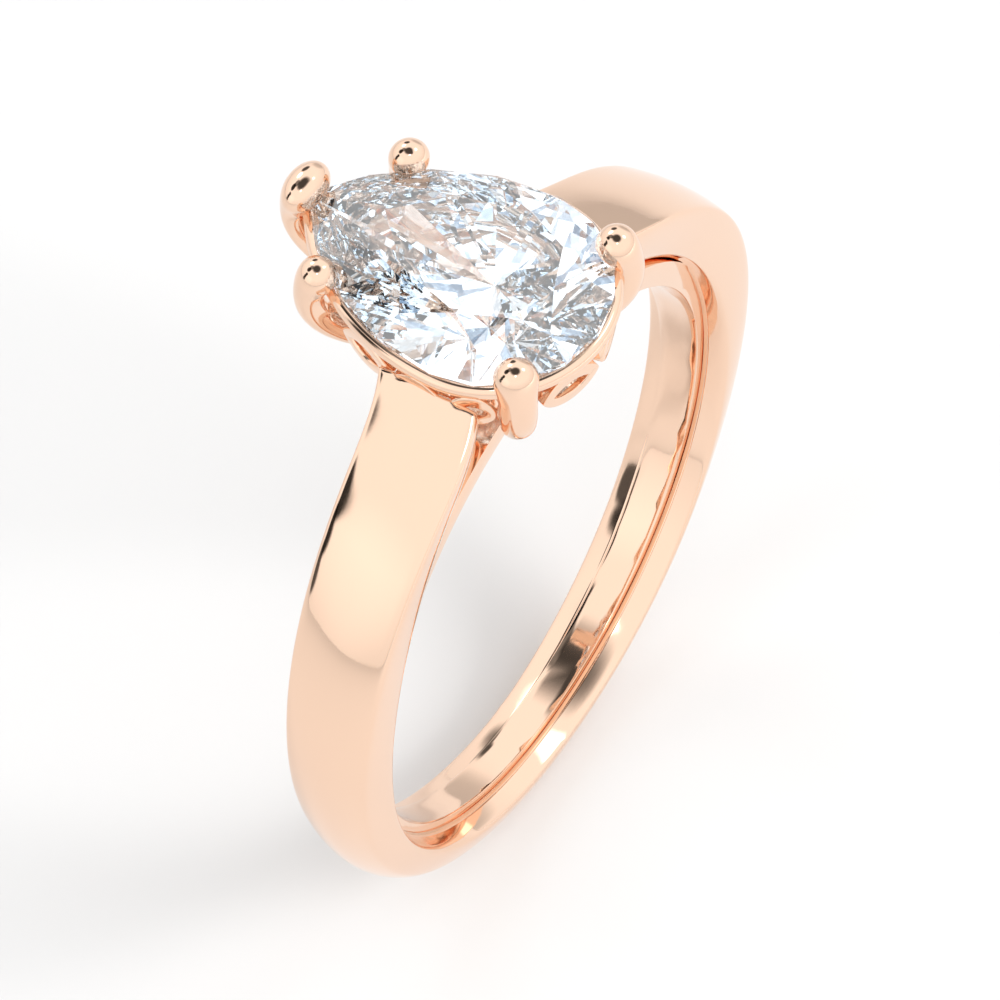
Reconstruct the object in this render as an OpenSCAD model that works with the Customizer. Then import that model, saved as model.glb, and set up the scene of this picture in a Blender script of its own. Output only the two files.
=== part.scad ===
// Solitaire engagement ring with a pear-cut stone. Millimetres, +Z from the finger up to the stone.
// The origin is the centre of the finger hole and the finger runs along Y.
// The stone's round end points to -Y and its tip to +Y.

/* [Band] */
// Inside diameter of the band
bore_d = 16.5; // [16:0.1:17]
// Radial thickness of the comfort sleeve
sleeve_t = 0.85; // [0.75:0.05:0.9]
// Width of the comfort sleeve at the top
sleeve_w_top = 1.6; // [1.4:0.1:1.8]
// Width of the comfort sleeve at the bottom
sleeve_w_bottom = 0.9; // [0.8:0.1:1.1]
// Width of the flat cylindrical strip inside the sleeve
strip_w = 0.5; // [0.4:0.05:0.6]
// Radial thickness of the whole band at the bottom
band_t = 1.85; // [1.7:0.05:2]
// Width of the outer shank at the bottom
shank_w_bottom = 2.3; // [2.1:0.1:2.6]
// Width of the outer shank at the head
shank_w_top = 3.2; // [3:0.1:3.4]
// Extra height of the shoulders over the round band
shoulder_rise = 1.6; // [1.4:0.05:1.8]
// Extra lift of the shoulders' last stretch up to the head
shoulder_flare = 0.3; // [0.1:0.05:0.4]
// How far the shoulders' ends lean towards the stone's tip
shoulder_lean = 0.6; // [0.4:0.05:0.7]

/* [Stone] */
// Width of the pear
stone_w = 6.7; // [6.5:0.05:6.9]
// Length of the pear from the head's axis to its tip
tip_l = 5.95; // [5.8:0.05:6.1]
// Length of the pear from the head's axis to its round end
round_l = 3.25; // [3.1:0.05:3.4]
// Height of the girdle above the finger's axis
girdle_z = 12; // [11.9:0.05:12.1]
// Thickness of the girdle
girdle_t = 0.16; // [0.1:0.02:0.2]
// Height of the crown above the girdle
crown_h = 0.95; // [0.8:0.05:1.1]
// Depth of the pavilion under the girdle
pavilion_h = 2.75; // [2.6:0.05:2.8]

/* [Head] */
// Distance of the head's axis from the middle of the band, towards the tip
head_y = 0.5; // [0.4:0.05:0.6]
// Diameter of a prong at the girdle
prong_d = 1.16; // [1.06:0.02:1.2]
// Width of the claw over the stone's tip
claw_w = 1.6; // [1.4:0.05:1.7]
// Diameter of the girdle rail's wire
rail_d = 0.5; // [0.44:0.02:0.54]
// Height of a gallery link
link_h = 1.3; // [1.1:0.05:1.35]
// Wall thickness of a gallery link
link_t = 0.38; // [0.28:0.02:0.38]
// Length of a gallery link's eye as a share of the link's
eye_l = 0.62; // [0.5:0.02:0.65]
// Height of a gallery link's eye as a share of the link's
eye_h = 0.38; // [0.36:0.02:0.46]

/* [Hidden] */

rose_gold = [0.93, 0.70, 0.56];
diamond = [0.93, 0.96, 1.0, 0.6];

bore_r = bore_d / 2;
sleeve_r = bore_r + sleeve_t;
dome_rise = 0.16;         // how far the sleeve's inside falls back at its edges
seat_gap = 0.02;          // clearance between the sleeve and its channel in the shank
crease_r = bore_r + 0.3;  // where the sleeve's side meets the shank
flange_r = bore_r + 0.5;  // inner corner of the shank's side
ridge_r = bore_r + 1.4;   // ridge between side and outer face, at the bottom
outer_r = bore_r + band_t;
shank_end = 16;           // angle from the top where a shoulder ends, in degrees
seam_end = 179.95;        // angle where the two arms meet at the bottom
stations = 44;            // sections along one arm

prong_r = prong_d / 2;
rail_r = rail_d / 2;
rail_z = girdle_z - girdle_t / 2 - rail_r - 0.02;
rail_out = -0.04;         // rail's centre line, measured out from the girdle
base_r = 1.25;            // outside radius of the head's base
base_hole_r = 0.62;       // clear of the culet
base_h = 0.3;             // height of the base above the sleeve

// ---- the pear's outline: half an ellipse at the round end, two long arcs up to the tip ----
flank_r = (tip_l * tip_l + stone_w * stone_w / 4) / stone_w;
flank_a = asin(tip_l / flank_r);

// Point on one side of the outline. u runs from 0 at the round end to 1 at the tip.
function pear_pt(u) = u < 0.5
    ? [stone_w / 2 * sin(180 * u), -round_l * cos(180 * u)]
    : [stone_w / 2 - flank_r + flank_r * cos((2 * u - 1) * flank_a), flank_r * sin((2 * u - 1) * flank_a)];
function pear_nrm(u) = u < 0.5
    ? [sin(180 * u), -cos(180 * u)]
    : [cos((2 * u - 1) * flank_a), sin((2 * u - 1) * flank_a)];
// The same point moved outwards, in the ring's frame.
function pear_out(u, out) = pear_pt(u) + out * pear_nrm(u) + [0, head_y];

// ---- shank sections, by the angle a from the top of the ring ----
function top_share(a) = (1 + cos(a)) / 2;
function shoulder(a) = shoulder_rise * exp(-pow(a / 83, 3.2));
function flare(a) = shoulder_flare * exp(-(a - shank_end) / 5);
function lift(a) = 1.05 * exp(-pow((a - 20) / 38, 2));
function ridge_at(a) = ridge_r + shoulder(a) + flare(a);
function crown_at(a) = ridge_at(a) + (outer_r - ridge_r) * (1 - 0.75 * top_share(a));
function under_at(a) = flange_r + lift(a);
function half_w(a) = shank_w_bottom / 2 * 0.8 + (shank_w_top - shank_w_bottom * 0.8) / 2 * pow(top_share(a), 1.2);
function sleeve_half(a) = (sleeve_w_bottom + (sleeve_w_top - sleeve_w_bottom) * top_share(a)) / 2;
function lean(a) = 0.22 * exp(-pow(a / 45, 2)) + shoulder_lean * exp(-(a - 15) / 5);

// Half a section as [radius, distance from the middle], from the channel out to the crown.
function half_section(a) =
    let (w = half_w(a), s = sleeve_half(a) + seat_gap, u = under_at(a), r = ridge_at(a), c = crown_at(a),
         f = shank_w_bottom / 2 + 0.17 * sin(a), floor_r = sleeve_r + seat_gap,
         k = max(crease_r, u - 0.2 + 0.25 * lift(a)))
    [
        [floor_r + 0.04, 0],
        [floor_r, s],
        [k, s + 0.01 + 0.05 * exp(-pow((k - floor_r) / 0.12, 2))],
        [u, f - 0.07],
        [u + 0.07, f],
        [u * 0.55 + r * 0.45, f * 0.5 + w * 0.5 + 0.05],
        [r - 0.07, w + 0.02],
        [r + 0.02, w - 0.07],
        [r * 0.55 + c * 0.45, w * 0.74],
        [r * 0.2 + c * 0.8, w * 0.45],
        [c - (c - r) * 0.05, w * 0.2],
        [c, 0]
    ];
function full_section(a) =
    let (h = half_section(a), n = len(h), y0 = lean(a))
    concat([for (i = [0 : n - 1]) [h[i][0], h[i][1] + y0]],
           [for (i = [n - 2 : -1 : 1]) [h[i][0], y0 - h[i][1]]]);

// Skin over rings of points that all have the same number of points, closed at both ends.
module skin(rings) {
    n = len(rings[0]);
    m = len(rings);
    pts = [for (ring = rings) for (p = ring) p];
    sides = [for (j = [0 : m - 2]) for (i = [0 : n - 1])
        let (a = j * n + i, b = j * n + (i + 1) % n) each [[a, b, b + n], [a, b + n, a + n]]];
    polyhedron(points = pts,
               faces = concat([[for (i = [n - 1 : -1 : 0]) i]], sides, [[for (i = [0 : n - 1]) (m - 1) * n + i]]),
               convexity = 6);
}

module shank_arm() {
    rings = [for (j = [0 : stations])
        let (a = shank_end + (seam_end - shank_end) * pow(1 - j / stations, 1.35))
        [for (p = full_section(a)) [p[0] * sin(a), p[1], p[0] * cos(a)]]];
    color(rose_gold) skin(rings);
}

module shank_right() { shank_arm(); }

module shank_left() { mirror([1, 0, 0]) shank_arm(); }

// Domed inner ring. Its strip is a true cylinder and its sides close in towards the bottom.
module comfort_sleeve() {
    half = sleeve_w_top / 2 + 0.05;
    dome = [for (k = [0 : 6])
        let (y = strip_w / 2 + (half - strip_w / 2) * k / 6)
        [bore_r + dome_rise * pow((y - strip_w / 2) / (half - strip_w / 2), 2), y]];
    mirrored = [for (k = [6 : -1 : 0]) [dome[k][0], -dome[k][1]]];
    color(rose_gold) intersection() {
        rotate([90, 0, 0])
            rotate_extrude($fn = 128)
                polygon(concat(dome, [[sleeve_r, half], [sleeve_r, -half]], mirrored));
        rotate([90, 0, 90])
            linear_extrude(height = 4 * bore_r, center = true)
                polygon([[-sleeve_w_bottom / 2, -sleeve_r], [sleeve_w_bottom / 2, -sleeve_r],
                         [sleeve_w_top / 2, sleeve_r], [-sleeve_w_top / 2, sleeve_r]]);
    }
}

// Round collar that stands on the sleeve under the stone and ties the prongs together.
module head_base() {
    color(rose_gold) translate([0, head_y, 0]) difference() {
        translate([0, 0, sleeve_r - 0.6]) cylinder(r = base_r, h = base_h + 0.6, $fn = 64);
        translate([0, 0, sleeve_r - 1]) cylinder(r = base_hole_r, h = base_h + 2, $fn = 48);
        rotate([90, 0, 0]) cylinder(r = sleeve_r + 0.01, h = 8, center = true, $fn = 128);
    }
}

// ---- prongs: each lies in an upright plane through the head's axis ----
function bezier(p, t) = len(p) == 1
    ? p[0]
    : bezier([for (i = [0 : len(p) - 2]) p[i] * (1 - t) + p[i + 1] * t], t);
// Thickness along a prong: slim at the base, full at the girdle.
function prong_swell(t) = 0.6 + 0.4 * pow(t, 1.5) + 0.12 * pow(sin(180 * t), 2);

// The bead swells a little past the body of its prong.
function bead_swell(t) = 0.13 * exp(-pow((1 - t) / 0.13, 2));

// bead is the place of the rounded end's centre as [distance from the axis, height].
module prong(bead, half_w, half_d) {
    steps = 16;
    caps = 5;
    sides = 14;
    path = [[1, sleeve_r + 0.2], [bead[0] * 0.65, sleeve_r + 0.3], [bead[0] + 0.15, sleeve_r + 0.55],
            [bead[0] + 0.5, girdle_z - 1.35], [bead[0] + 0.3, girdle_z - 0.2], bead];
    last = bezier(path, 1) - bezier(path, 0.97);
    tip_dir = last / norm(last);
    body = [for (j = [0 : steps])
        let (t = j / steps, d = bezier(path, min(1, t + 0.02)) - bezier(path, max(0, t - 0.02)))
        [bezier(path, t), [-d[1], d[0]] / norm(d), prong_swell(t) + bead_swell(t)]];
    cap = [for (j = [1 : caps])
        let (q = 86 * j / caps, full = 1 + bead_swell(1))
        [bead + tip_dir * half_d * full * sin(q), [-tip_dir[1], tip_dir[0]], full * cos(q)]];
    rings = [for (s = concat(body, cap))
        [for (i = [0 : sides - 1])
            let (q = 360 * i / sides)
            [s[0][0] + s[1][0] * half_d * s[2] * cos(q), half_w * s[2] * sin(q),
             s[0][1] + s[1][1] * half_d * s[2] * cos(q)]]];
    color(rose_gold) skin(rings);
}

// Puts a prong with its bead over [across, along] of the head's axis, side 1 for right and -1 for left.
module prong_at(place, z, side, half_w, half_d) {
    translate([0, head_y, 0])
        rotate([0, 0, atan2(place[1], side * place[0])])
            prong([norm(place), z], half_w, half_d);
}

front_bead = pear_pt(0.265) + 0.14 * pear_nrm(0.265);
rear_bead = pear_pt(0.8) + 0.3 * pear_nrm(0.8);
tip_bead = [0, tip_l + 0.08];
bead_up = 0.34; // height of the front beads' centres above the girdle
claw_up = 0.3;

module prong_front_left() { prong_at(front_bead, girdle_z + bead_up, -1, prong_r, prong_r * 0.95); }

module prong_front_right() { prong_at(front_bead, girdle_z + bead_up, 1, prong_r, prong_r * 0.95); }

module prong_rear_left() { prong_at(rear_bead, girdle_z + 0.22, -1, prong_r * 0.92, prong_r * 0.88); }

module prong_rear_right() { prong_at(rear_bead, girdle_z + 0.22, 1, prong_r * 0.92, prong_r * 0.88); }

module prong_tip() { prong_at(tip_bead, girdle_z + claw_up, 1, claw_w / 2, prong_r * 0.92); }

// Round wire that follows the outline just under the girdle.
module girdle_rail() {
    per_side = 30;
    sides = 8;
    tip = 2 * per_side - 1;
    order = concat([for (k = [0 : per_side - 1]) [k / per_side, 1]], [[1, 0]],
                   [for (k = [per_side - 1 : -1 : 1]) [k / per_side, -1]]);
    n = len(order);
    pts = [for (o = order)
        let (u = o[0], nrm = o[1] == 0 ? [0, 1.35] : pear_nrm(u), sx = o[1] == 0 ? 1 : o[1],
             p = o[1] == 0 ? pear_pt(1) + nrm * rail_out : pear_pt(u) + nrm * rail_out)
        for (i = [0 : sides - 1])
            let (q = 360 * i / sides, k = rail_r * cos(q))
            [sx * (p[0] + nrm[0] * k), head_y + p[1] + nrm[1] * k, rail_z + rail_r * sin(q)]];
    faces = [for (j = [0 : n - 1]) for (i = [0 : sides - 1])
        let (a = j * sides + i, b = j * sides + (i + 1) % sides,
             c = ((j + 1) % n) * sides + (i + 1) % sides, d = ((j + 1) % n) * sides + i)
        each [[a, b, c], [a, c, d]]];
    color(rose_gold) polyhedron(points = pts, faces = faces, convexity = 6);
}

// ---- gallery: pierced, leaf-shaped links that hang under the rail between the prongs ----
// Leaf of the given length and height, drawn by two arcs.
module leaf(length, height) {
    r = (length * length + height * height) / (4 * height);
    intersection() {
        translate([0, r - height / 2]) circle(r = r, $fn = 96);
        translate([0, height / 2 - r]) circle(r = r, $fn = 96);
    }
}

link_top = rail_z - rail_r - 0.01;
eye_drop = 0.04; // how far a link's eye sits below its middle
link_tilt = 4; // how far a link leans in towards the culet, in degrees

module link(u0, u1, side) {
    a = pear_out(u0, -0.06);
    b = pear_out(u1, -0.06);
    mid = (a + b) / 2;
    along = b - a;
    length = norm(along);
    color(rose_gold)
        translate([side * mid[0], mid[1], link_top])
            rotate([0, 0, atan2(along[1], side * along[0])])
                rotate([90 + side * link_tilt, 0, 0])
                    translate([0, -link_h / 2, 0])
                        linear_extrude(height = link_t, center = true)
                            difference() {
                                leaf(length, link_h);
                                translate([0, -eye_drop]) leaf(length * eye_l, link_h * eye_h);
                            }
}

// Ends of each link on the outline, clear of the prongs.
link_span = [[0.005, 0.2], [0.315, 0.452], [0.456, 0.592], [0.596, 0.742], [0.852, 0.955]];

module link_left_1() { link(link_span[0][0], link_span[0][1], -1); }

module link_left_2() { link(link_span[1][0], link_span[1][1], -1); }

module link_left_3() { link(link_span[2][0], link_span[2][1], -1); }

module link_left_4() { link(link_span[3][0], link_span[3][1], -1); }

module link_left_5() { link(link_span[4][0], link_span[4][1], -1); }

module link_right_1() { link(link_span[0][0], link_span[0][1], 1); }

module link_right_2() { link(link_span[1][0], link_span[1][1], 1); }

module link_right_3() { link(link_span[2][0], link_span[2][1], 1); }

module link_right_4() { link(link_span[3][0], link_span[3][1], 1); }

module link_right_5() { link(link_span[4][0], link_span[4][1], 1); }

// ---- the stone: a pear brilliant with eight mains ----
// Outline places of the sixteen girdle corners on one side, round end to tip; even ones carry a main facet.
girdle_u = [0, 0.125, 0.25, 0.375, 0.5, 0.63, 0.76, 0.88, 1];

function ring_pt(k, size, z) =
    let (i = k <= 8 ? k : 16 - k, s = k <= 8 ? 1 : -1, p = pear_pt(girdle_u[i]))
    [s * p[0] * size, p[1] * size + head_y, z];

module centre_stone() {
    top_z = girdle_z + girdle_t / 2;
    low_z = girdle_z - girdle_t / 2;
    upper = [for (k = [0 : 15]) ring_pt(k, 1, top_z)];
    lower = [for (k = [0 : 15]) ring_pt(k, 1, low_z)];
    table = [for (k = [0 : 7]) ring_pt(2 * k, 0.58, top_z + crown_h)];
    star = [for (k = [0 : 7]) ring_pt(2 * k + 1, 0.8, top_z + crown_h * 0.56)];
    half = [for (k = [0 : 7]) ring_pt(2 * k + 1, 0.22, low_z - pavilion_h * 0.79)];
    culet = [[0, head_y, low_z - pavilion_h]];
    t0 = 32;
    s0 = 40;
    h0 = 48;
    c0 = 56;
    crown = [for (k = [0 : 7]) let (n = (k + 1) % 8, p = (k + 7) % 8) each [
        [t0 + k, s0 + k, t0 + n],
        [t0 + k, 2 * k, s0 + k],
        [t0 + k, s0 + p, 2 * k],
        [s0 + k, 2 * k, 2 * k + 1],
        [s0 + k, 2 * k + 1, 2 * n]]];
    belt = [for (k = [0 : 15]) let (n = (k + 1) % 16) each [[k, 16 + k, 16 + n], [k, 16 + n, n]]];
    pavilion = [for (k = [0 : 7]) let (n = (k + 1) % 8, p = (k + 7) % 8, g = 16 + 2 * k) each [
        [c0, h0 + k, g],
        [c0, g, h0 + p],
        [h0 + k, g + 1, g],
        [h0 + k, 16 + 2 * n, g + 1]]];
    color(diamond)
        polyhedron(points = concat(upper, lower, table, star, half, culet),
                   faces = concat([[for (k = [0 : 7]) t0 + k]], crown, belt, pavilion), convexity = 4);
}

comfort_sleeve();
shank_left();
shank_right();
head_base();
girdle_rail();
prong_front_left();
prong_front_right();
prong_rear_left();
prong_rear_right();
prong_tip();
link_left_1();
link_left_2();
link_left_3();
link_left_4();
link_left_5();
link_right_1();
link_right_2();
link_right_3();
link_right_4();
link_right_5();
centre_stone();
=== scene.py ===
import bpy
import math
from mathutils import Matrix, Vector


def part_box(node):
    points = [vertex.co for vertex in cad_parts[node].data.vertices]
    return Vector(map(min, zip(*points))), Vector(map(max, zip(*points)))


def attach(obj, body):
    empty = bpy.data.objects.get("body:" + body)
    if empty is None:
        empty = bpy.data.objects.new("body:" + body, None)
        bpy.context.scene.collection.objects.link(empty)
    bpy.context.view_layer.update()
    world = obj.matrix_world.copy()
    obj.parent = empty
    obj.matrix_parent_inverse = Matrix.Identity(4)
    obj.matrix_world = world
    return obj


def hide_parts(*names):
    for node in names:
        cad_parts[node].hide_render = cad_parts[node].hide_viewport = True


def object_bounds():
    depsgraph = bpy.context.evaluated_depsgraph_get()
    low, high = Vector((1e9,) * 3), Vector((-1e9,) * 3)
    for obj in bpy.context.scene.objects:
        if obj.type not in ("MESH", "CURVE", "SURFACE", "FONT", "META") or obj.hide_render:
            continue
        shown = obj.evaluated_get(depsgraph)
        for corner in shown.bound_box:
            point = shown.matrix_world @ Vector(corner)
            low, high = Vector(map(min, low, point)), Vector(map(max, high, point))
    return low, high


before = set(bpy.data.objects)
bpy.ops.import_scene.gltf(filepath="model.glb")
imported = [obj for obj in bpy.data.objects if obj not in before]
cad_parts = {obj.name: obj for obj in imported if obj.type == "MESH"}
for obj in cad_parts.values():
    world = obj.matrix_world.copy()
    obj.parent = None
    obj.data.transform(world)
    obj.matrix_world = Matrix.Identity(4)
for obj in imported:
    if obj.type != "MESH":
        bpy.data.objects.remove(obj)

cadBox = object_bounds()
root = "root"
sleeveLow, sleeveHigh = (Vector(v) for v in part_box("comfort_sleeve"))
print("frame loaded:", len(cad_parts), "nodes")

castingLook = {
    "mergeDistance": 2e-6,  # closes up a node's loose triangles, in metres
    "bevelMerge": 5e-7,     # joins the corners that a soft edge brings together at a link's points
    "flatAngle": 0.5,       # faces that turn less than this are one flat, in degrees
    "edgeAngle": 50.0,      # edges sharper than this are softened
    "smoothAngle": 40.0,    # shading runs over edges softer than this
}


def clearSelection():
    if bpy.context.object and bpy.context.object.mode != "OBJECT":
        bpy.ops.object.mode_set(mode="OBJECT")
    bpy.ops.object.select_all(action="DESELECT")


def pickOnly(piece):
    clearSelection()
    piece.hide_set(False)
    piece.select_set(True)
    bpy.context.view_layer.objects.active = piece


def castingOf(node, pieceName):
    # a casting starts as the node's own mesh, with its loose triangles merged
    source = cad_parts[node]
    piece = bpy.data.objects.new(pieceName, source.data.copy())
    bpy.context.scene.collection.objects.link(piece)
    piece.data.materials.clear()
    pickOnly(piece)
    bpy.ops.object.mode_set(mode="EDIT")
    bpy.ops.mesh.select_mode(type="VERT")
    bpy.ops.mesh.select_all(action="SELECT")
    bpy.ops.mesh.remove_doubles(threshold=castingLook["mergeDistance"])
    bpy.ops.mesh.normals_make_consistent(inside=False)
    bpy.ops.object.mode_set(mode="OBJECT")
    return piece


def gridBack(piece, shapeAngle, faceAngle):
    # paired triangles become the quads they were cut from
    pickOnly(piece)
    bpy.ops.object.mode_set(mode="EDIT")
    bpy.ops.mesh.select_all(action="SELECT")
    bpy.ops.mesh.tris_convert_to_quads(face_threshold=math.radians(faceAngle),
                                       shape_threshold=math.radians(shapeAngle))
    bpy.ops.object.mode_set(mode="OBJECT")


def roundOver(piece, levels):
    pickOnly(piece)
    rounding = piece.modifiers.new("rounding", "SUBSURF")
    rounding.levels = rounding.render_levels = levels
    bpy.ops.object.modifier_apply(modifier="rounding")


def softenEdges(piece, width, segments):
    pickOnly(piece)
    bpy.ops.object.mode_set(mode="EDIT")
    bpy.ops.mesh.select_all(action="SELECT")
    bpy.ops.mesh.dissolve_limited(angle_limit=math.radians(castingLook["flatAngle"]))
    bpy.ops.object.mode_set(mode="OBJECT")
    edge = piece.modifiers.new("edge", "BEVEL")
    edge.width = width
    edge.segments = segments
    edge.angle_limit = math.radians(castingLook["edgeAngle"])
    bpy.ops.object.modifier_apply(modifier="edge")
    bpy.ops.object.mode_set(mode="EDIT")
    bpy.ops.mesh.select_mode(type="VERT")
    bpy.ops.mesh.select_all(action="SELECT")
    bpy.ops.mesh.remove_doubles(threshold=castingLook["bevelMerge"])
    bpy.ops.object.mode_set(mode="OBJECT")
    bpy.ops.object.shade_smooth_by_angle(angle=math.radians(castingLook["smoothAngle"]))


def settle(piece, material, slotName, *nodes):
    piece.data.materials.clear()
    piece.data.materials.append(material)
    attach(piece, root)
    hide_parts(*nodes)


def addNode(tree, kind, **settings):
    # 'settings' are the node's socket values, with _ for a space in a socket's name
    node = tree.nodes.new(kind)
    for socket, value in settings.items():
        node.inputs[socket.replace("_", " ")].default_value = value
    return node


def colourBlend(tree, amount, first, second):
    blend = tree.nodes.new("ShaderNodeMix")
    blend.data_type = "RGBA"
    blend.inputs[6].default_value = first
    blend.inputs[7].default_value = second
    tree.links.new(amount, blend.inputs[0])
    return blend.outputs[2]


# rose gold, with a faint cloudiness in its colour and polish and very fine polishing lines
goldLook = {
    "colour": (0.93, 0.665, 0.50, 1),
    "deepColour": (0.91, 0.645, 0.485, 1),
    "roughness": 0.05,
    "roughnessWorn": 0.09,
    "cloudScale": 260.0,
    "wearFrom": 0.35,
    "wearTo": 0.75,
    "hairlineScale": 9000.0,
    "hairlineDepth": 0.04,
    "hairlineHeight": 4e-6,
}
headGoldLook = dict(goldLook, roughness=0.06, roughnessWorn=0.11, hairlineScale=14000.0)


def roseGold(name, look):
    material = bpy.data.materials.new(name)
    material.use_nodes = True
    tree = material.node_tree
    shader = tree.nodes["Principled BSDF"]
    shader.inputs["Metallic"].default_value = 1.0
    place = tree.nodes.new("ShaderNodeTexCoord")
    cloud = addNode(tree, "ShaderNodeTexNoise", Scale=look["cloudScale"], Detail=3.0)
    tree.links.new(place.outputs["Object"], cloud.inputs["Vector"])
    tint = colourBlend(tree, cloud.outputs["Fac"], look["colour"], look["deepColour"])
    tree.links.new(tint, shader.inputs["Base Color"])
    polish = addNode(tree, "ShaderNodeMapRange", From_Min=look["wearFrom"], From_Max=look["wearTo"],
                     To_Min=look["roughness"], To_Max=look["roughnessWorn"])
    tree.links.new(cloud.outputs["Fac"], polish.inputs["Value"])
    tree.links.new(polish.outputs["Result"], shader.inputs["Roughness"])
    hairlines = addNode(tree, "ShaderNodeTexNoise", Scale=look["hairlineScale"], Detail=2.0)
    tree.links.new(place.outputs["Object"], hairlines.inputs["Vector"])
    bump = addNode(tree, "ShaderNodeBump", Strength=look["hairlineDepth"], Distance=look["hairlineHeight"])
    tree.links.new(hairlines.outputs["Fac"], bump.inputs["Height"])
    tree.links.new(bump.outputs["Normal"], shader.inputs["Normal"])
    return material


bandGold = roseGold("polishedRoseGold", goldLook)
headGold = roseGold("headRoseGold", headGoldLook)

# the band's outer part: two arms that are one piece of metal
bandLook = {
    "subdivisions": 2,
    "sharpAngle": 62.0,
    "quadShape": 70.0,
    "quadFace": 40.0,
    "seamReach": 4e-5,     # how close to the middle a seam face lies
    "seamMerge": 3e-5,     # how far apart the two arms' seam corners may be
    "mouthDepth": 5e-5,    # the channel's mouth lies this far inside the sleeve's outside, or more
    "mouthHalf": 0.00095,  # and no further than this from the ring's middle plane
}
arms = [castingOf(f"shank_{side}", f"arm_{side}") for side in ("left", "right")]
clearSelection()
for arm in arms:
    arm.select_set(True)
bpy.context.view_layer.objects.active = arms[0]
bpy.ops.object.join()
shank = bpy.context.object
shank.name = shank.data.name = "shank_polished"

# the seam at the bottom is soldered shut: its end faces go and its corners are merged
bpy.ops.object.mode_set(mode="EDIT")
bpy.ops.mesh.select_all(action="DESELECT")
bpy.ops.object.mode_set(mode="OBJECT")
for face in shank.data.polygons:
    face.select = abs(face.center.x) < bandLook["seamReach"] and face.center.z < 0 and abs(face.normal.x) > 0.99
bpy.ops.object.mode_set(mode="EDIT")
bpy.ops.mesh.select_mode(type="FACE")
bpy.ops.mesh.delete(type="ONLY_FACE")
bpy.ops.mesh.select_mode(type="VERT")
bpy.ops.mesh.select_all(action="SELECT")
bpy.ops.mesh.remove_doubles(threshold=bandLook["seamMerge"])
bpy.ops.mesh.normals_make_consistent(inside=False)
bpy.ops.object.mode_set(mode="OBJECT")
gridBack(shank, bandLook["quadShape"], bandLook["quadFace"])

# the mouth of the channel stays sharp, so that it closes on the sleeve
mouthReach = sleeveHigh.x - bandLook["mouthDepth"]
mouth = {v.index for v in shank.data.vertices
         if math.hypot(v.co.x, v.co.z) < mouthReach and abs(v.co.y) < bandLook["mouthHalf"]}
pickOnly(shank)
bpy.ops.object.mode_set(mode="EDIT")
bpy.ops.mesh.select_mode(type="EDGE")
bpy.ops.mesh.select_all(action="DESELECT")
bpy.ops.object.mode_set(mode="OBJECT")
for line in shank.data.edges:
    line.select = line.vertices[0] in mouth and line.vertices[1] in mouth
bpy.ops.object.mode_set(mode="EDIT")
bpy.ops.transform.edge_crease(value=1.0)
bpy.ops.object.mode_set(mode="OBJECT")
roundOver(shank, bandLook["subdivisions"])
bpy.ops.object.shade_smooth_by_angle(angle=math.radians(bandLook["sharpAngle"]))
settle(shank, bandGold, "rose_gold", "shank_left", "shank_right")
print("shank arms smoothed")

# the comfort sleeve inside it
sleeveLook = {"softEdge": 0.00006, "edgeSegments": 3}
sleeve = castingOf("comfort_sleeve", "comfort_sleeve_polished")
softenEdges(sleeve, sleeveLook["softEdge"], sleeveLook["edgeSegments"])
settle(sleeve, bandGold, "rose_gold", "comfort_sleeve")
print("sleeve edged")

# the head: prongs and rail are rounded wire, links and base are plate with soft edges
headLook = {
    "quadShape": 80.0,
    "quadFace": 60.0,
    "prongRounding": 2,
    "railRounding": 1,
    "linkEdge": 0.00013,
    "baseEdge": 0.0001,
    "edgeSegments": 4,
}
wires = {f"prong_{place}": headLook["prongRounding"]
         for place in ("front_left", "front_right", "rear_left", "rear_right", "tip")}
wires["girdle_rail"] = headLook["railRounding"]
for node, levels in wires.items():
    wire = castingOf(node, f"{node}_polished")
    gridBack(wire, headLook["quadShape"], headLook["quadFace"])
    roundOver(wire, levels)
    bpy.ops.object.shade_smooth()
    settle(wire, headGold, "rose_gold", node)

plates = {f"link_{side}_{k}": headLook["linkEdge"] for side in ("left", "right") for k in range(1, 6)}
plates["head_base"] = headLook["baseEdge"]
for node, width in plates.items():
    plate = castingOf(node, f"{node}_polished")
    softenEdges(plate, width, headLook["edgeSegments"])
    settle(plate, headGold, "rose_gold", node)
print("head polished")

# the stone: clear, with flat facets, a breath of blue and a trace of haze
stoneLook = {
    "ior": 2.9,
    "roughness": 0.0,
    "tint": (0.965, 0.985, 1.0, 1),
    "palest": (0.985, 0.995, 1.0, 1),
    "tintScale": 900.0,
    "haze": (0.86, 0.91, 1.0, 1),
    "hazeShare": 0.006,
}


def pearDiamond(look):
    material = bpy.data.materials.new("pearDiamond")
    material.use_nodes = True
    tree = material.node_tree
    tree.nodes.remove(tree.nodes["Principled BSDF"])
    place = tree.nodes.new("ShaderNodeTexCoord")
    drift = addNode(tree, "ShaderNodeTexNoise", Scale=look["tintScale"])
    tree.links.new(place.outputs["Object"], drift.inputs["Vector"])
    glass = addNode(tree, "ShaderNodeBsdfGlass", Roughness=look["roughness"], IOR=look["ior"])
    tint = colourBlend(tree, drift.outputs["Fac"], look["tint"], look["palest"])
    tree.links.new(tint, glass.inputs["Color"])
    milk = addNode(tree, "ShaderNodeBsdfDiffuse", Color=look["haze"])
    both = addNode(tree, "ShaderNodeMixShader", Fac=look["hazeShare"])
    tree.links.new(glass.outputs[0], both.inputs[1])
    tree.links.new(milk.outputs[0], both.inputs[2])
    tree.links.new(both.outputs[0], tree.nodes["Material Output"].inputs["Surface"])
    return material


diamond = pearDiamond(stoneLook)
stone = castingOf("centre_stone", "centre_stone_cut")
pickOnly(stone)
bpy.ops.object.shade_flat()
settle(stone, diamond, "diamond", "centre_stone")
print("stone cut")

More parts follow.
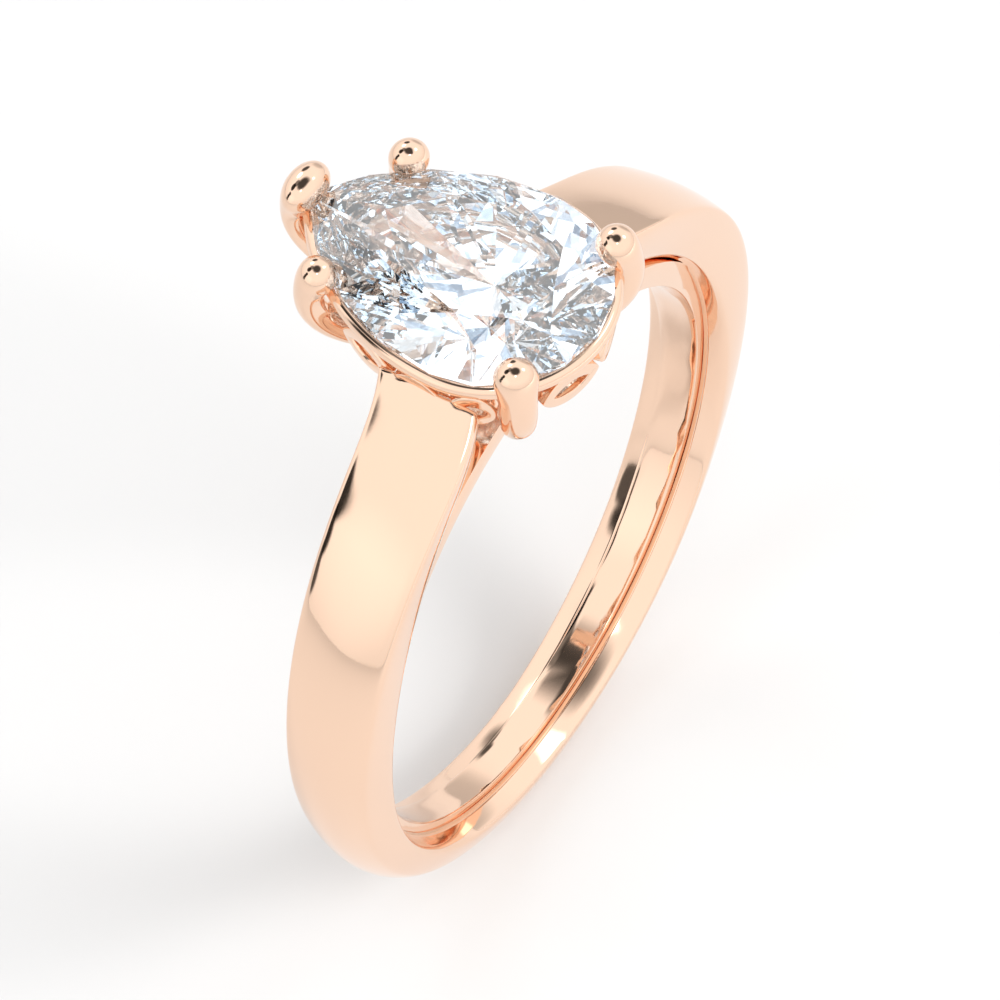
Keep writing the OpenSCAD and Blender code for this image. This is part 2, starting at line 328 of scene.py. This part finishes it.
# the floor: matt paper under the ring
stageLook = {"floorSize": 3.0, "floorTone": (0.75, 0.75, 0.75, 1), "floorRoughness": 0.9}
clearSelection()
bpy.ops.mesh.primitive_plane_add(size=stageLook["floorSize"], location=(0, 0, cadBox[0][2]))
floor = bpy.context.object
floor.name = "floor"
paper = bpy.data.materials.new("palePaper")
paper.use_nodes = True
paperShader = paper.node_tree.nodes["Principled BSDF"]
paperShader.inputs["Base Color"].default_value = stageLook["floorTone"]
paperShader.inputs["Roughness"].default_value = stageLook["floorRoughness"]
paperShader.inputs["Specular IOR Level"].default_value = 0.0
floor.data.materials.append(paper)

# the room: azimuths, elevations, widths and soft edges are in degrees
studioLook = {
    "brightness": 1.2,
    # each flag is a soft dark patch of the room, and 'leaves' is the share of light it lets through
    "flags": [
        {"azimuth": 125, "elevation": 86, "width": 15, "softness": 12, "leaves": 0.06},
        {"azimuth": -162, "elevation": 48, "width": 10, "softness": 3, "leaves": 0.03},
        {"azimuth": -178, "elevation": 60, "width": 9, "softness": 4, "leaves": 0.2},
        {"azimuth": 131, "elevation": 26, "width": 8, "softness": 4, "leaves": 0.08},
        {"azimuth": -140, "elevation": 31, "width": 6, "softness": 3, "leaves": 0.03},
        {"azimuth": -139, "elevation": 19, "width": 6, "softness": 3, "leaves": 0.03},
        {"azimuth": -138, "elevation": 7, "width": 6, "softness": 3, "leaves": 0.1},
        {"azimuth": 100, "elevation": 4, "width": 8, "softness": 14, "leaves": 0.62},
    ],
    # each box is a bright patch of the room
    "boxes": [
        {"azimuth": -112, "elevation": 20, "width": 2, "softness": 26, "adds": 0.14},
        {"azimuth": 150, "elevation": 40, "width": 7, "softness": 3, "adds": 1.6},
        {"azimuth": -55, "elevation": 68, "width": 3, "softness": 1.5, "adds": 4.0},
        {"azimuth": 60, "elevation": 50, "width": 6, "softness": 3, "adds": 1.4},
    ],
    # the room dims towards the horizon, so that it meets the floor softly
    "horizon": {"leaves": 0.84, "fadesBy": 30},
    # what is seen through the stone alone: a brighter room of many small cool and warm patches
    "sparkle": {
        "patches": 9.0,
        "darkest": 0.62, "darkFrom": 0.36,
        "brightest": 2.3, "brightFrom": 0.56,
        "cool": (0.55, 0.74, 1.0, 1), "coolAt": 0.36,
        "pale": (0.90, 0.95, 1.0, 1), "paleAt": 0.48,
        "warm": (1.0, 0.97, 0.95, 1), "warmAt": 0.66,
    },
}


def towards(azimuth, elevation):
    a, e = math.radians(azimuth), math.radians(elevation)
    return Vector((math.sin(a) * math.cos(e), -math.cos(a) * math.cos(e), math.sin(e)))


world = bpy.data.worlds.new("studio")
bpy.context.scene.world = world
world.use_nodes = True
room = world.node_tree
sky = room.nodes["Background"]
facing = room.nodes.new("ShaderNodeTexCoord")


def patchOf(spot, low, high):
    # 'low' far from the spot's direction, 'high' inside it, with a soft edge
    reach = room.nodes.new("ShaderNodeVectorMath")
    reach.operation = "DOT_PRODUCT"
    reach.inputs[1].default_value = towards(spot["azimuth"], spot["elevation"])
    room.links.new(facing.outputs["Generated"], reach.inputs[0])
    edge = addNode(room, "ShaderNodeMapRange",
                   From_Min=math.cos(math.radians(spot["width"] + spot["softness"])),
                   From_Max=math.cos(math.radians(spot["width"])), To_Min=low, To_Max=high)
    edge.interpolation_type = "SMOOTHSTEP"
    room.links.new(reach.outputs["Value"], edge.inputs["Value"])
    return edge.outputs["Result"]


def combine(operation, first, second):
    step = room.nodes.new("ShaderNodeMath")
    step.operation = operation
    room.links.new(first, step.inputs[0])
    room.links.new(second, step.inputs[1])
    return step.outputs[0]


# what the metal and the floor see
glow = room.nodes.new("ShaderNodeValue")
glow.outputs[0].default_value = studioLook["brightness"]
level = glow.outputs[0]
for box in studioLook["boxes"]:
    level = combine("ADD", level, patchOf(box, 0, box["adds"]))
for flag in studioLook["flags"]:
    level = combine("MULTIPLY", level, patchOf(flag, 1, flag["leaves"]))
horizon = studioLook["horizon"]
height = room.nodes.new("ShaderNodeSeparateXYZ")
room.links.new(facing.outputs["Generated"], height.inputs[0])
dusk = addNode(room, "ShaderNodeMapRange", From_Max=math.sin(math.radians(horizon["fadesBy"])),
               To_Min=horizon["leaves"], To_Max=1.0)
room.links.new(height.outputs["Z"], dusk.inputs["Value"])
room.links.new(combine("MULTIPLY", level, dusk.outputs["Result"]), sky.inputs["Strength"])
sky.inputs["Color"].default_value = (1.0, 1.0, 1.0, 1)

# what is seen through the stone
sparkle = studioLook["sparkle"]
stoneSky = room.nodes.new("ShaderNodeBackground")
patches = addNode(room, "ShaderNodeTexNoise", Scale=sparkle["patches"], Detail=1.0)
room.links.new(facing.outputs["Generated"], patches.inputs["Vector"])
contrast = addNode(room, "ShaderNodeMapRange", From_Min=sparkle["darkFrom"], From_Max=sparkle["brightFrom"],
                   To_Min=sparkle["darkest"], To_Max=sparkle["brightest"])
room.links.new(patches.outputs["Fac"], contrast.inputs["Value"])
room.links.new(contrast.outputs["Result"], stoneSky.inputs["Strength"])
tones = room.nodes.new("ShaderNodeValToRGB")
tones.color_ramp.elements[0].position = sparkle["coolAt"]
tones.color_ramp.elements[0].color = sparkle["cool"]
tones.color_ramp.elements[1].position = sparkle["warmAt"]
tones.color_ramp.elements[1].color = sparkle["warm"]
tones.color_ramp.elements.new(sparkle["paleAt"]).color = sparkle["pale"]
room.links.new(patches.outputs["Fac"], tones.inputs["Fac"])
room.links.new(tones.outputs["Color"], stoneSky.inputs["Color"])
pathKind = room.nodes.new("ShaderNodeLightPath")
either = room.nodes.new("ShaderNodeMixShader")
room.links.new(pathKind.outputs["Is Transmission Ray"], either.inputs[0])
room.links.new(sky.outputs[0], either.inputs[1])
room.links.new(stoneSky.outputs[0], either.inputs[2])
room.links.new(either.outputs[0], room.nodes["World Output"].inputs["Surface"])

# the camera looks at the ring's centre, moved in its view by 'slide', in millimetres
cameraLook = {"azimuth": -55.38, "elevation": 54.81, "roll": -3.22, "distance": 0.25,
              "focal": 322.2, "sensor": 36, "slide": (0.68, -1.34), "nearest": 0.01, "furthest": 10}


def eyeAxes(look):
    roll = math.radians(look["roll"])
    back = towards(look["azimuth"], look["elevation"])
    across = Vector((0, 0, 1)).cross(back).normalized()
    up = back.cross(across)
    right = math.cos(roll) * across + math.sin(roll) * up
    return right, -math.sin(roll) * across + math.cos(roll) * up, back


right, up, back = eyeAxes(cameraLook)
slideAcross, slideUp = (mm / 1000 for mm in cameraLook["slide"])
eye = back * cameraLook["distance"] - right * slideAcross - up * slideUp
lens = bpy.data.cameras.new("camera")
camera = bpy.data.objects.new("camera", lens)
bpy.context.scene.collection.objects.link(camera)
camera.matrix_world = Matrix(((right.x, up.x, back.x, eye.x), (right.y, up.y, back.y, eye.y),
                              (right.z, up.z, back.z, eye.z), (0, 0, 0, 1)))
lens.lens = cameraLook["focal"]
lens.sensor_width = cameraLook["sensor"]
lens.clip_start = cameraLook["nearest"]
lens.clip_end = cameraLook["furthest"]
bpy.context.scene.camera = camera

# the lamps light the floor and cast its soft shadow, and the metal reflects only the room
lamps = {
    "keyBox": {"at": (0.11, -0.30, 0.17), "size": (0.17, 0.17), "power": 0.9},
    "topBox": {"at": (-0.05, 0.05, 0.35), "size": (0.25, 0.25), "power": 0.15},
}
for name, lamp in lamps.items():
    light = bpy.data.lights.new(name, "AREA")
    light.shape = "RECTANGLE"
    light.size, light.size_y = lamp["size"]
    light.energy = lamp["power"]
    light.specular_factor = 0.0
    holder = bpy.data.objects.new(name, light)
    bpy.context.scene.collection.objects.link(holder)
    holder.location = lamp["at"]
    holder.visible_glossy = False
    holder.visible_transmission = False
    holder.rotation_euler = (-Vector(lamp["at"])).to_track_quat("-Z", "Y").to_euler()

# a stone needs many bounces to look bright
lightLook = {"bounces": 40, "throughStone": 40, "glossy": 16}
bpy.context.scene.view_settings.view_transform = "Standard"
cycles = bpy.context.scene.cycles
cycles.max_bounces = lightLook["bounces"]
cycles.transmission_bounces = lightLook["throughStone"]
cycles.glossy_bounces = lightLook["glossy"]
cycles.caustics_reflective = True
cycles.caustics_refractive = True
print("stage set")
